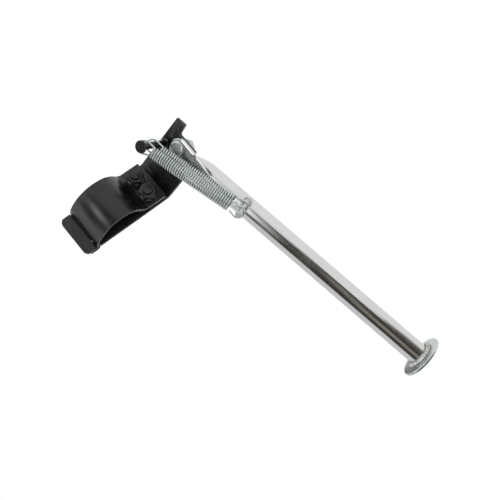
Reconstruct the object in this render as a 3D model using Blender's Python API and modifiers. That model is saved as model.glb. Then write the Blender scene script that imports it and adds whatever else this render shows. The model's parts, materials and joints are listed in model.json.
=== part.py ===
"""Clamp-on kickstand for a motorcycle swingarm, modelled piece by piece.

Run it with: blender --background --python part.py
Units are metres, +Z up. X runs along the swingarm towards the folded leg's foot, Y is outboard.
The origin is the middle of the base plate's face, against which the swingarm is clamped.
"""
import bpy
import bmesh
from math import acos, atan2, cos, degrees, pi, radians, sin, sqrt, tan
from mathutils import Matrix, Vector

MM = 0.001
GAP = 0.3 * MM

# Bracket: one bent sheet, a base plate with a notched head and a pivot plate below it
SHEET = 3.0 * MM
HALF_WIDTH = 18.8 * MM
BEND_Z = -42.0 * MM
BEND_ANGLE = radians(47.0)
BEND_RADIUS = 4.0 * MM
HEAD_END_Z = BEND_Z + 84.7 * MM
HEAD_CORNER = 5.0 * MM
NOTCH_LOW_Z = BEND_Z + 70.2 * MM
NOTCH_HIGH_Z = BEND_Z + 74.1 * MM
NECK_HALF = 10.6 * MM
PLATE_TOP = 48.0 * MM
TAB_LENGTH = 57.7 * MM
TAB_EDGE = -9.2 * MM
TAB_SLOPE = 1.2 * MM
NOTCH_EDGE = -8.2 * MM
PLATE_CORNER = 12.8 * MM
SLANT_START = 19.5 * MM

# Clamp strap: its outer outline as height over the base plate and place along it
STRAP = 3.0 * MM
STRAP_FLANGE_Y = 7.5 * MM
STRAP_END_Z = BEND_Z + 3.5 * MM
STRAP_ARCH = (
    (7.5, 20.9), (9.8, 24.6), (18.0, 30.6), (24.0, 37.5), (26.2, 46.5),
    (25.2, 55.0), (21.0, 62.6), (14.8, 68.4), (7.6, 72.5), (2.4, 73.6),
)
STRAP_HOOK_Y = -SHEET - 0.5 * MM
STRAP_HOOK_END_Z = BEND_Z + 80.0 * MM
STRAP_HOOK_RADIUS = 0.8 * MM
FORK_HALF = NECK_HALF + 0.4 * MM
FORK_Y = 1.0 * MM

# Clamp bolts, M8
BOLT_X = 8.5 * MM
BOLT_Z = BEND_Z + 13.5 * MM
M8_RADIUS = 4.0 * MM
M8_HOLE = 4.4 * MM
M8_FLATS = 13.0 * MM
M8_NUT = 6.0 * MM
M8_HEAD = 5.3 * MM
M8_WASHER_RADIUS = 7.0 * MM
M8_WASHER = 1.2 * MM
BOLT_END_Y = 17.0 * MM

# Pivot, measured on the pivot plate from the bend line
PIVOT_X = 0.3 * MM
PIVOT_P = 40.5 * MM
PIVOT_HEAD_RADIUS = 6.4 * MM
PIVOT_HEAD = 1.8 * MM
PIVOT_WASHER = 0.5 * MM
PIVOT_WASHER_RADIUS = 7.2 * MM
BUSH_OUTER = 5.5 * MM
BUSH_INNER = 4.4 * MM

# Leg: a tube whose end is flattened into a tongue, bent inboard of the pivot plate
TONGUE = 3.6 * MM
TONGUE_HALF = 8.4 * MM
TONGUE_END = 16.4 * MM
ROUND_START = 36.0 * MM
LEG_LENGTH = 270.8 * MM
LEG_CRANK = radians(19.5)
LEG_SWEEP = radians(-1.05)
LEG_SWING = radians(93.0)
TUBE_RADIUS = 9.0 * MM
TUBE_RADIUS_FOOT = 9.7 * MM
TUBE_WALL = 1.8 * MM
FOOT_RADIUS = 20.0 * MM
FOOT_THICKNESS = 3.0 * MM
BEAD = 3.2 * MM

# Spring post on the plate and anchor pin on the leg
POST_X = -12.9 * MM
POST_P = 33.2 * MM
POST_RADIUS = 3.0 * MM
POST_HEIGHT = 36.2 * MM
POST_HEAD_RADIUS = 5.4 * MM
POST_HEAD = 2.0 * MM
M6_RADIUS = 3.0 * MM
M6_HOLE = 3.3 * MM
M6_FLATS = 10.0 * MM
M6_NUT = 5.0 * MM
PIN_ALONG = 71.4 * MM
PIN_SIDE = 5.6 * MM
PIN_RADIUS = 2.0 * MM
PIN_TOP = 29.0 * MM
PIN_HEAD_RADIUS = 3.2 * MM
PIN_HEAD = 1.5 * MM

# Springs: heights of their hooks over the plate and over the tube's axis
WIRE = 1.5 * MM
COIL_RADIUS = 4.5 * MM
COIL_PITCH = 2.05 * MM
CURL_POINTS = 8
POST_LOOP = 5.2 * MM
PIN_LOOP = 4.9 * MM
HOOK = 7.6 * MM
SPRINGS = {
    "inner_spring": (20.9 * MM, 15.3 * MM),
    "outer_spring": (31.8 * MM, 26.0 * MM),
}

SIDES = 32

# Directions: P runs from the bend line up the pivot plate, N is its face that carries the leg
X_AXIS = Vector((1, 0, 0))
Y_AXIS = Vector((0, 1, 0))
Z_AXIS = Vector((0, 0, 1))
P_AXIS = Vector((0, sin(BEND_ANGLE), -cos(BEND_ANGLE)))
N_AXIS = X_AXIS.cross(P_AXIS)
BEND = Vector((0, 0, BEND_Z))
ALONG = X_AXIS * cos(LEG_SWEEP) + P_AXIS * sin(LEG_SWEEP)
ACROSS = N_AXIS.cross(ALONG)
LEG_AXIS = ALONG * cos(LEG_CRANK) - N_AXIS * sin(LEG_CRANK)
LEG_UP = LEG_AXIS.cross(ACROSS)


def on_plate(x, p, height=0.0):
    """Point of the pivot plate, at a height over the face that carries the leg."""
    return BEND + X_AXIS * x + P_AXIS * p + N_AXIS * height


PIVOT = on_plate(PIVOT_X, PIVOT_P)
TONGUE_LOW = PIVOT_WASHER + 2 * GAP
TONGUE_MIDDLE = TONGUE_LOW + TONGUE / 2
LEG_ROOT = PIVOT + N_AXIS * TONGUE_MIDDLE


def tube_radius(along):
    """Outer radius of the tube at a distance from the pivot."""
    return TUBE_RADIUS + (TUBE_RADIUS_FOOT - TUBE_RADIUS) * along / LEG_LENGTH


def placed(x_axis, y_axis, z_axis, origin):
    """Matrix that puts a local frame on three axes at an origin."""
    rows = Matrix((x_axis, y_axis, z_axis)).transposed().to_4x4()
    return Matrix.Translation(origin) @ rows


def clear_scene():
    """Remove what a new file holds."""
    for item in list(bpy.data.objects):
        bpy.data.objects.remove(item, do_unlink=True)


def collection(name):
    """New collection in the scene."""
    group = bpy.data.collections.new(name)
    bpy.context.scene.collection.children.link(group)
    return group


def finish(name, colour, roughness, metallic):
    """Plain metal or paint."""
    made = bpy.data.materials.new(name)
    made.use_nodes = True
    shader = made.node_tree.nodes["Principled BSDF"]
    shader.inputs["Base Color"].default_value = (*colour, 1.0)
    shader.inputs["Roughness"].default_value = roughness
    shader.inputs["Metallic"].default_value = metallic
    return made


clear_scene()
PARTS = collection("kickstand")
CUTTERS = collection("cutters")
BLACK = finish("black_paint", (0.012, 0.012, 0.013), 0.22, 0.0)
CHROME = finish("chrome", (0.74, 0.75, 0.74), 0.08, 1.0)
ZINC = finish("zinc", (0.50, 0.52, 0.50), 0.34, 1.0)
STEEL = finish("steel", (0.42, 0.42, 0.41), 0.38, 1.0)
BRONZE = finish("bronze", (0.45, 0.30, 0.15), 0.40, 1.0)
WELD = finish("weld", (0.36, 0.36, 0.35), 0.45, 1.0)


def add(name, mesh, material, matrix):
    """Object of a part, smooth where its faces meet at a low angle."""
    made = bpy.data.objects.new(name, mesh)
    PARTS.objects.link(made)
    made.matrix_world = matrix
    if material:
        made.data.materials.append(material)
        made.data.shade_smooth()
        made.data.set_sharp_from_angle(angle=radians(35))
    return made


def add_cutter(name, mesh, matrix):
    """Object that only cuts or limits others."""
    made = bpy.data.objects.new(name, mesh)
    CUTTERS.objects.link(made)
    made.matrix_world = matrix
    made.hide_render = True
    made.display_type = "WIRE"
    return made


def boolean(target, cutter, operation="DIFFERENCE"):
    """Boolean modifier with the exact solver."""
    step = target.modifiers.new(cutter.name, "BOOLEAN")
    step.operation = operation
    step.solver = "EXACT"
    step.object = cutter


def cylinder_mesh(name, radius, low, high, sides=SIDES, end_radius=None):
    """Cylinder or cone along its local Z."""
    shape = bmesh.new()
    end = radius if end_radius is None else end_radius
    bmesh.ops.create_cone(shape, cap_ends=True, segments=sides, radius1=radius, radius2=end,
                          depth=high - low)
    bmesh.ops.translate(shape, verts=shape.verts, vec=(0, 0, (low + high) / 2))
    mesh = bpy.data.meshes.new(name)
    shape.to_mesh(mesh)
    shape.free()
    return mesh


def hole(target, name, radius, low, high, matrix, sides=SIDES):
    """Round hole through a part."""
    boolean(target, add_cutter(name, cylinder_mesh(name, radius, low, high, sides), matrix))


def turned(name, profile, material, matrix, closed=False, steps=SIDES):
    """Turned part: radius and height pairs, down the outer side, spun round local Z."""
    shape = bmesh.new()
    verts = [shape.verts.new((radius, 0, height)) for radius, height in profile]
    for first, second in zip(verts, verts[1:]):
        shape.edges.new((first, second))
    if closed:
        shape.edges.new((verts[-1], verts[0]))
    mesh = bpy.data.meshes.new(name)
    shape.to_mesh(mesh)
    shape.free()
    made = add(name, mesh, material, matrix) if material else add_cutter(name, mesh, matrix)
    screw = made.modifiers.new("turn", "SCREW")
    screw.steps = steps
    screw.render_steps = steps
    screw.use_merge_vertices = True
    screw.merge_threshold = 0.00001
    screw.use_smooth_shade = True
    return made


def washer(name, inner, outer, low, high, material, matrix):
    """Flat ring."""
    profile = [(inner, high), (outer, high), (outer, low), (inner, low)]
    return turned(name, profile, material, matrix, closed=True)


def rounded(points, radii, steps=6):
    """Outline through the points, each corner rounded by its radius."""
    path = []
    for index, (corner, radius) in enumerate(zip(points, radii)):
        here = Vector(corner)
        if radius == 0:
            path.append(here)
            continue
        back = (Vector(points[index - 1]) - here).normalized()
        ahead = (Vector(points[(index + 1) % len(points)]) - here).normalized()
        half = acos(max(-1.0, min(1.0, back.dot(ahead)))) / 2
        centre = here + (back + ahead).normalized() * (radius / sin(half))
        start = here + back * (radius / tan(half)) - centre
        end = here + ahead * (radius / tan(half)) - centre
        turn = start.angle_signed(end)
        for step in range(steps + 1):
            spun = start.copy()
            spun.rotate(Matrix.Rotation(-turn * step / steps, 2))
            path.append(centre + spun)
    return path


def outline_mesh(name, outline, half):
    """Flat outline in local X and Y, extruded by half its thickness to each side."""
    curve = bpy.data.curves.new(name, "CURVE")
    curve.dimensions = "2D"
    curve.fill_mode = "BOTH"
    curve.extrude = half
    spline = curve.splines.new("POLY")
    spline.points.add(len(outline) - 1)
    for point, place in zip(spline.points, outline):
        point.co = (place[0], place[1], 0, 1)
    spline.use_cyclic_u = True
    holder = bpy.data.objects.new(name, curve)
    CUTTERS.objects.link(holder)
    bpy.context.view_layer.update()
    graph = bpy.context.evaluated_depsgraph_get()
    mesh = bpy.data.meshes.new_from_object(holder.evaluated_get(graph))
    bpy.data.objects.remove(holder, do_unlink=True)
    shape = bmesh.new()
    shape.from_mesh(mesh)
    bmesh.ops.remove_doubles(shape, verts=shape.verts, dist=0.000001)
    bmesh.ops.recalc_face_normals(shape, faces=shape.faces)
    shape.to_mesh(mesh)
    shape.free()
    mesh.name = name
    return mesh


def bent_sheet(name, outline, thickness, material):
    """Sheet of the bracket's width: its outer or carrying face follows an outline of Y and Z."""
    shape = bmesh.new()
    verts = [shape.verts.new((-HALF_WIDTH, y, z)) for y, z in outline]
    edges = [shape.edges.new(pair) for pair in zip(verts, verts[1:])]
    grown = bmesh.ops.extrude_edge_only(shape, edges=edges)["geom"]
    moved = [item for item in grown if isinstance(item, bmesh.types.BMVert)]
    bmesh.ops.translate(shape, verts=moved, vec=(2 * HALF_WIDTH, 0, 0))
    mesh = bpy.data.meshes.new(name)
    shape.to_mesh(mesh)
    shape.free()
    made = add(name, mesh, material, Matrix.Identity(4))
    wall = made.modifiers.new("sheet", "SOLIDIFY")
    wall.thickness = thickness
    wall.offset = 1
    wall.use_even_offset = True
    return made


def hex_piece(name, flats, low, high, chamfered, bore, material, matrix, shank=None):
    """Hexagon along local Z, its chosen ends chamfered, with a bore or a shank."""
    corner = flats / sqrt(3)
    made = add(name, cylinder_mesh(name, corner, low, high, 6), material, matrix)
    drop = (corner - flats / 2) * tan(radians(30))
    over = corner + 1 * MM
    profile = [(0, high + 1 * MM), (over, high + 1 * MM), (over, low - 1 * MM), (0, low - 1 * MM)]
    if "high" in chamfered:
        profile[:2] = [(0, high), (flats / 2, high), (over, high - drop - 1 * MM * tan(radians(30)))]
    if "low" in chamfered:
        profile[-2:] = [(over, low + drop + 1 * MM * tan(radians(30))), (flats / 2, low), (0, low)]
    boolean(made, turned(name + "_chamfer", profile, None, matrix), "INTERSECT")
    if bore:
        hole(made, name + "_bore", bore, low - 1 * MM, high + 1 * MM, matrix, 24)
    if shank:
        radius, tip = shank
        mesh = cylinder_mesh(name + "_shank", radius, min(low, tip) if tip < low else high - 1 * MM,
                             low + 1 * MM if tip < low else tip, 24)
        boolean(made, add_cutter(name + "_shank", mesh, matrix), "UNION")
    return made


def smooth(points, steps):
    """Curve through all the points, with some steps from each to the next."""
    path = []
    for index in range(len(points) - 1):
        before = Vector(points[max(index - 1, 0)])
        here = Vector(points[index])
        ahead = Vector(points[index + 1])
        beyond = Vector(points[min(index + 2, len(points) - 1)])
        leave = (ahead - before) / 2
        arrive = (beyond - here) / 2
        for step in range(steps):
            t = step / steps
            path.append(
                here * (2 * t ** 3 - 3 * t ** 2 + 1) + leave * (t ** 3 - 2 * t ** 2 + t)
                + ahead * (3 * t ** 2 - 2 * t ** 3) + arrive * (t ** 3 - t ** 2)
            )
    return path + [Vector(points[-1])]


def build_bracket():
    """Base plate, notched head and pivot plate, with the tab that stops the lowered leg."""
    tab_end = BEND + P_AXIS * TAB_LENGTH
    corners = [(tab_end.y, tab_end.z), (0, BEND_Z), (0, HEAD_END_Z + 2 * MM)]
    outline = rounded(corners, (0, BEND_RADIUS, 0), 8)
    made = bent_sheet("bracket", outline, SHEET, BLACK)
    plate = placed(X_AXIS, P_AXIS, N_AXIS, BEND)
    far = HALF_WIDTH + 6 * MM
    slant = (HALF_WIDTH - PLATE_CORNER) / (PLATE_TOP - SLANT_START)
    reach = 4 * MM
    edge = [
        (-far, TAB_LENGTH + reach),
        (-far, TAB_LENGTH - TAB_SLOPE - (far - HALF_WIDTH) * TAB_SLOPE / (HALF_WIDTH + TAB_EDGE)),
        (TAB_EDGE, TAB_LENGTH - 0.05 * MM),
        (NOTCH_EDGE, PLATE_TOP),
        (PLATE_CORNER, PLATE_TOP),
        (HALF_WIDTH + slant * reach, SLANT_START - reach),
        (far, SLANT_START - reach),
        (far, TAB_LENGTH + reach),
    ]
    trim = rounded(edge, (0, 0, 1 * MM, 2 * MM, 2.5 * MM, 0, 0, 0))
    boolean(made, add_cutter("plate_trim", outline_mesh("plate_trim", trim, 3 * SHEET), plate))
    base = placed(X_AXIS, Z_AXIS, Y_AXIS * -1, Vector((0, 0, 0)))
    over = HEAD_END_Z + 4 * MM
    wide = HALF_WIDTH + 0.2 * MM
    end = [(wide, HEAD_END_Z - 2 * HEAD_CORNER), (wide, HEAD_END_Z)]
    end += [(-wide, HEAD_END_Z), (-wide, HEAD_END_Z - 2 * HEAD_CORNER)]
    end += [(-far, HEAD_END_Z - 2 * HEAD_CORNER), (-far, over), (far, over)]
    end.append((far, HEAD_END_Z - 2 * HEAD_CORNER))
    round_off = rounded(end, (0, HEAD_CORNER, HEAD_CORNER, 0, 0, 0, 0, 0))
    boolean(made, add_cutter("head_trim", outline_mesh("head_trim", round_off, 3 * SHEET), base))
    for side in (-1, 1):
        corner_a = side * NECK_HALF
        corner_b = side * far
        gap = [(corner_a, NOTCH_LOW_Z), (corner_b, NOTCH_LOW_Z), (corner_b, NOTCH_HIGH_Z)]
        gap.append((corner_a, NOTCH_HIGH_Z))
        name = "notch_%s" % ("near" if side > 0 else "far")
        boolean(made, add_cutter(name, outline_mesh(name, gap, 3 * SHEET), base))
    pivot = placed(X_AXIS, P_AXIS, N_AXIS, PIVOT)
    hole(made, "pivot_hole", M8_HOLE, -2 * SHEET, SHEET, pivot)
    post = placed(X_AXIS, P_AXIS, N_AXIS, on_plate(POST_X, POST_P))
    hole(made, "post_hole", M6_HOLE, -2 * SHEET, SHEET, post)
    for index, side in enumerate((-1, 1)):
        place = placed(Z_AXIS, X_AXIS, Y_AXIS, Vector((side * BOLT_X, 0, BOLT_Z)))
        hole(made, "base_bolt_hole_%d" % index, M8_HOLE, -2 * SHEET, SHEET, place)
    return made


def build_strap():
    """Arched strap: a flange under the nuts, the arch and two tines hooked behind the head."""
    arch = smooth([Vector((y * MM, BEND_Z + z * MM)) for y, z in STRAP_ARCH], 3)
    tail = arch[-1]
    hook = [tuple(tail), (STRAP_HOOK_Y, tail.y), (STRAP_HOOK_Y, STRAP_HOOK_END_Z)]
    outline = [Vector((STRAP_FLANGE_Y, STRAP_END_Z))] + arch[:-1]
    outline += rounded(hook, (0, STRAP_HOOK_RADIUS, 0), 4)
    made = bent_sheet("clamp_strap", outline, STRAP, BLACK)
    deep = STRAP_HOOK_Y - 2 * STRAP
    fork = [(-FORK_HALF, deep), (FORK_HALF, deep), (FORK_HALF, FORK_Y), (-FORK_HALF, FORK_Y)]
    crotch = rounded(fork, (0, 0, 2 * MM, 2 * MM), 4)
    across = placed(X_AXIS, Y_AXIS, Z_AXIS, Vector((0, 0, NOTCH_HIGH_Z)))
    boolean(made, add_cutter("fork", outline_mesh("fork", crotch, 4 * STRAP), across))
    for index, side in enumerate((-1, 1)):
        place = placed(Z_AXIS, X_AXIS, Y_AXIS, Vector((side * BOLT_X, 0, BOLT_Z)))
        hole(made, "strap_bolt_hole_%d" % index, M8_HOLE, 0, 2 * STRAP_FLANGE_Y, place)
    return made


def build_clamp_bolts():
    """Two bolts through the base plate and the strap's flange, with washers and nuts."""
    for name, side in (("rear", -1), ("front", 1)):
        place = placed(Z_AXIS, X_AXIS, Y_AXIS, Vector((side * BOLT_X, 0, BOLT_Z)))
        back = -SHEET - GAP
        washer("clamp_washer_" + name, M8_HOLE, M8_WASHER_RADIUS, back - M8_WASHER, back, ZINC, place)
        head = back - M8_WASHER - GAP
        hex_piece("clamp_bolt_" + name, M8_FLATS, head - M8_HEAD, head, ("low",), None, BLACK, place,
                  (M8_RADIUS, BOLT_END_Y))
        top = STRAP_FLANGE_Y + GAP
        washer("clamp_lock_washer_" + name, M8_HOLE, M8_WASHER_RADIUS, top, top + M8_WASHER, STEEL,
               place)
        seat = top + M8_WASHER + GAP
        hex_piece("clamp_nut_" + name, M8_FLATS, seat, seat + M8_NUT, ("high",), M8_RADIUS + GAP, BLACK,
                  place)


def build_pivot():
    """Pivot bolt with its bush, washers and nut."""
    place = placed(X_AXIS, P_AXIS, N_AXIS, PIVOT)
    washer("pivot_washer_inner", M8_HOLE, PIVOT_WASHER_RADIUS, GAP, GAP + PIVOT_WASHER, ZINC, place)
    low = TONGUE_LOW
    high = TONGUE_LOW + TONGUE
    washer("pivot_bush", BUSH_INNER, BUSH_OUTER, low, high, BRONZE, place)
    seat = high + GAP
    washer("pivot_washer_outer", M8_HOLE, PIVOT_WASHER_RADIUS, seat, seat + PIVOT_WASHER, ZINC, place)
    head = seat + PIVOT_WASHER + GAP
    back = -SHEET - GAP
    tip = back - M8_WASHER - M8_NUT - 2.6 * MM
    profile = [
        (0, head + PIVOT_HEAD),
        (PIVOT_HEAD_RADIUS - 1.2 * MM, head + PIVOT_HEAD),
        (PIVOT_HEAD_RADIUS - 0.3 * MM, head + PIVOT_HEAD - 0.45 * MM),
        (PIVOT_HEAD_RADIUS, head + PIVOT_HEAD - 1.0 * MM),
        (PIVOT_HEAD_RADIUS, head),
        (M8_RADIUS, head),
        (M8_RADIUS, tip + 0.8 * MM),
        (M8_RADIUS - 0.8 * MM, tip),
        (0, tip),
    ]
    turned("pivot_bolt", profile, ZINC, place)
    washer("pivot_lock_washer", M8_HOLE, M8_WASHER_RADIUS, back - M8_WASHER, back, STEEL, place)
    nut = back - M8_WASHER - GAP
    hex_piece("pivot_nut", M8_FLATS, nut - M8_NUT, nut, ("low",), M8_RADIUS + GAP, ZINC, place)


def leg_section(along, centre, half_width, half_height, power, pitch):
    """Ring of the leg: a rounded box or an ellipse, at a distance from the pivot."""
    up = N_AXIS * cos(pitch) + ALONG * sin(pitch)
    middle = PIVOT + ALONG * along + N_AXIS * centre
    ring = []
    for step in range(SIDES):
        angle = 2 * pi * (step + 0.5) / SIDES
        side = abs(cos(angle)) ** (2 / power) * (1 if cos(angle) > 0 else -1)
        rise = abs(sin(angle)) ** (2 / power) * (1 if sin(angle) > 0 else -1)
        ring.append(middle + ACROSS * (side * half_width) + up * (rise * half_height))
    return ring


def axis_section(distance, radius):
    """Round ring of the tube, square to its axis."""
    middle = LEG_ROOT + LEG_AXIS * distance
    angles = [2 * pi * (step + 0.5) / SIDES for step in range(SIDES)]
    return [middle + ACROSS * (cos(a) * radius) + LEG_UP * (sin(a) * radius) for a in angles]


def flattened_rings():
    """Rings from the tongue to the round tube: the top runs straight, the belly drops away."""
    rings = [leg_section(TONGUE_END - 3 * MM, TONGUE_MIDDLE, TONGUE_HALF, TONGUE / 2, 8, 0)]
    top_start = TONGUE_MIDDLE + TONGUE / 2
    top_end = TONGUE_MIDDLE - ROUND_START * tan(LEG_CRANK) + TUBE_RADIUS / cos(LEG_CRANK)
    count = 5
    for step in range(count):
        share = step / count
        along = TONGUE_END + (ROUND_START - TONGUE_END) * share
        top = top_start + (top_end - top_start) * share
        swell = sin(share * pi / 2)
        height = TONGUE / 2 + (TUBE_RADIUS - TONGUE / 2) * swell
        width = TONGUE_HALF + (TUBE_RADIUS - TONGUE_HALF) * share
        power = 8 - 6 * swell
        pitch = LEG_CRANK * share
        centre = top - height / cos(pitch)
        rings.append(leg_section(along, centre, width, height, power, pitch))
    return rings


def loft_mesh(name, rings):
    """Closed skin through rings of equal counts."""
    shape = bmesh.new()
    loops = []
    for ring in rings:
        verts = [shape.verts.new(point) for point in ring]
        loops.append([shape.edges.new((verts[i - 1], verts[i])) for i in range(len(verts))])
    for first, second in zip(loops, loops[1:]):
        bmesh.ops.bridge_loops(shape, edges=first + second)
    for loop in (loops[0], loops[-1]):
        bmesh.ops.contextual_create(shape, geom=loop)
    bmesh.ops.recalc_face_normals(shape, faces=shape.faces)
    mesh = bpy.data.meshes.new(name)
    shape.to_mesh(mesh)
    shape.free()
    return mesh


def build_leg():
    """Tongue, flattened stretch and open tube in one piece, with the foot disc and its weld."""
    start = ROUND_START / cos(LEG_CRANK)
    rings = flattened_rings()
    for step in range(4):
        distance = start + (LEG_LENGTH - GAP - start) * step / 3
        rings.append(axis_section(distance, tube_radius(distance)))
    made = add("leg_tube", loft_mesh("leg_tube", rings), CHROME, Matrix.Identity(4))
    tongue = [(0.0, -TONGUE_HALF), (TONGUE_END - 1 * MM, -TONGUE_HALF + 0.3 * MM)]
    tongue += [(TONGUE_END - 1 * MM, TONGUE_HALF - 0.3 * MM), (0.0, TONGUE_HALF)]
    for step in range(1, 16):
        angle = pi / 2 + pi * step / 16
        tongue.append((TONGUE_HALF * cos(angle), TONGUE_HALF * sin(angle)))
    flat = placed(ALONG, ACROSS, N_AXIS, LEG_ROOT)
    inset = TONGUE / 2 - 0.02 * MM
    boolean(made, add_cutter("tongue", outline_mesh("tongue", tongue, inset), flat), "UNION")
    hole(made, "bush_bore", BUSH_OUTER + GAP, -TONGUE, TONGUE, flat)
    run = placed(LEG_UP, ACROSS * -1, LEG_AXIS, LEG_ROOT)
    bore = cylinder_mesh("tube_bore", TUBE_RADIUS - TUBE_WALL, start + 4 * MM, LEG_LENGTH + 1 * MM, 24)
    boolean(made, add_cutter("tube_bore", bore, run))
    foot = FOOT_RADIUS
    edge = 0.6 * MM
    low = LEG_LENGTH
    profile = [
        (0, low + FOOT_THICKNESS),
        (foot - edge, low + FOOT_THICKNESS),
        (foot, low + FOOT_THICKNESS - edge),
        (foot, low + edge),
        (foot - edge, low),
        (0, low),
    ]
    turned("foot_disc", profile, ZINC, run, steps=48)
    inner = TUBE_RADIUS_FOOT + GAP
    bead = [(inner, low - GAP - BEAD)]
    for step in range(1, 5):
        angle = pi / 2 * step / 5
        bead.append((inner + BEAD * sin(angle), low - GAP - BEAD * cos(angle) * 0.9))
    bead += [(inner + BEAD, low - GAP), (inner, low - GAP)]
    turned("foot_weld_bead", bead[::-1], WELD, run, closed=True)


def build_anchor():
    """Pin on the leg that holds the springs, and the weld round its foot."""
    base = LEG_ROOT + LEG_AXIS * PIN_ALONG + ACROSS * PIN_SIDE
    place = placed(LEG_AXIS, ACROSS, LEG_UP, base)
    profile = [
        (0, PIN_TOP + PIN_HEAD),
        (PIN_HEAD_RADIUS - 0.5 * MM, PIN_TOP + PIN_HEAD),
        (PIN_HEAD_RADIUS, PIN_TOP + PIN_HEAD - 0.5 * MM),
        (PIN_HEAD_RADIUS, PIN_TOP),
        (PIN_RADIUS, PIN_TOP - 0.6 * MM),
        (PIN_RADIUS, 3 * MM),
        (0, 3 * MM),
    ]
    pin = turned("spring_anchor_pin", profile, ZINC, place, steps=24)
    run = placed(LEG_UP, ACROSS * -1, LEG_AXIS, LEG_ROOT)
    radius = tube_radius(PIN_ALONG) + GAP
    cutter = cylinder_mesh("tube_clearance", radius, PIN_ALONG - 12 * MM, PIN_ALONG + 12 * MM, 48)
    clearance = add_cutter("tube_clearance", cutter, run)
    boolean(pin, clearance)
    inner = PIN_RADIUS + GAP
    weld = [
        (inner, 9.2 * MM),
        (inner + 0.4 * MM, 9.2 * MM),
        (inner + 2.4 * MM, 6.4 * MM),
        (inner + 2.4 * MM, 2.5 * MM),
        (inner, 2.5 * MM),
    ]
    ring = turned("anchor_weld", weld, WELD, place, closed=True, steps=24)
    boolean(ring, clearance)


def build_post():
    """Post that carries the springs' fixed ends, screwed through the plate."""
    place = placed(X_AXIS, P_AXIS, N_AXIS, on_plate(POST_X, POST_P))
    back = -SHEET - GAP
    tip = back - M8_WASHER - M6_NUT - 2.2 * MM
    top = POST_HEIGHT
    profile = [
        (0, top),
        (POST_HEAD_RADIUS - 1.0 * MM, top),
        (POST_HEAD_RADIUS - 0.25 * MM, top - 0.4 * MM),
        (POST_HEAD_RADIUS, top - 1.0 * MM),
        (POST_HEAD_RADIUS, top - POST_HEAD),
        (POST_RADIUS, top - POST_HEAD),
        (POST_RADIUS, 3.3 * MM),
        (POST_RADIUS + 1.5 * MM, 3.0 * MM),
        (POST_RADIUS + 1.5 * MM, GAP),
        (M6_RADIUS - 0.1 * MM, GAP),
        (M6_RADIUS - 0.1 * MM, tip + 0.6 * MM),
        (M6_RADIUS - 0.7 * MM, tip),
        (0, tip),
    ]
    turned("spring_post", profile, BLACK, place, steps=24)
    washer("spring_post_washer", M6_HOLE, 5.6 * MM, back - M8_WASHER, back, STEEL, place)
    nut = back - M8_WASHER - GAP
    hex_piece("spring_post_nut", M6_FLATS, nut - M6_NUT, nut, ("low",), M6_RADIUS + GAP, ZINC, place)


def spring_path(length):
    """Wire of one spring along local X: a hook, the coil and a hook, about the two loop centres."""
    post = POST_LOOP + WIRE / 2
    pin = PIN_LOOP + WIRE / 2
    end = length - HOOK
    path = [Vector((HOOK - 1.8 * MM, -0.8 * COIL_RADIUS, 0))]
    for step in range(11):
        angle = -pi / 2 - pi * step / 10
        path.append(Vector((post * cos(angle), post * sin(angle), 0)))
    path.append(Vector((HOOK - 1.5 * MM, COIL_RADIUS + 0.1 * MM, -0.2 * MM)))
    curls = int((end - HOOK) / COIL_PITCH)
    pitch = (end - HOOK) / curls
    coil = []
    for step in range(curls * CURL_POINTS + 1):
        angle = 2 * pi * step / CURL_POINTS
        along = HOOK + pitch * step / CURL_POINTS
        coil.append(Vector((along, COIL_RADIUS * cos(angle), COIL_RADIUS * sin(angle))))
    path += coil
    path.append(Vector((end + 1.5 * MM, COIL_RADIUS + 0.1 * MM, 0.2 * MM)))
    for step in range(11):
        angle = pi / 2 - pi * step / 10
        path.append(Vector((length + pin * cos(angle), pin * sin(angle), 0)))
    path.append(Vector((end + 1.8 * MM, -0.8 * COIL_RADIUS, 0)))
    return path, coil, curls


def rounded_list(place):
    """Coordinates of a place in metres, to a micrometre."""
    return [round(value, 6) for value in place]


def spring_ends(post_height, pin_height):
    """Where a spring's line meets the post's axis and the pin's axis."""
    post = on_plate(POST_X, POST_P, post_height)
    pin = LEG_ROOT + LEG_AXIS * PIN_ALONG + ACROSS * PIN_SIDE + LEG_UP * pin_height
    return post, pin


def least_gap(coil):
    """Least distance between the wire's surface in one turn and in any other turn."""
    least = 1.0
    for index, point in enumerate(coil):
        for other in coil[index + CURL_POINTS - 2:index + CURL_POINTS + 3]:
            least = min(least, (other - point).length)
    return least - WIRE


def build_springs():
    """Two springs, one over the other, from the post to the pin on the leg."""
    for name, (post_height, pin_height) in SPRINGS.items():
        post, pin = spring_ends(post_height, pin_height)
        run = (pin - post).normalized()
        start = post + run * (POST_LOOP - POST_RADIUS - GAP)
        finish_at = pin - run * (PIN_LOOP - PIN_RADIUS - GAP)
        side = N_AXIS.cross(run).normalized()
        path, coil, curls = spring_path((finish_at - start).length)
        curve = bpy.data.curves.new(name, "CURVE")
        curve.dimensions = "3D"
        curve.bevel_depth = WIRE / 2
        curve.bevel_resolution = 1
        curve.use_fill_caps = True
        curve.materials.append(ZINC)
        spline = curve.splines.new("POLY")
        spline.points.add(len(path) - 1)
        for point, place in zip(spline.points, path):
            point.co = (*place, 1)
        made = bpy.data.objects.new(name, curve)
        PARTS.objects.link(made)
        made.matrix_world = placed(run, side, run.cross(side), start)
        print("%s: %d curls, least gap %.2f mm" % (name, curls, least_gap(coil) / MM))


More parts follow.
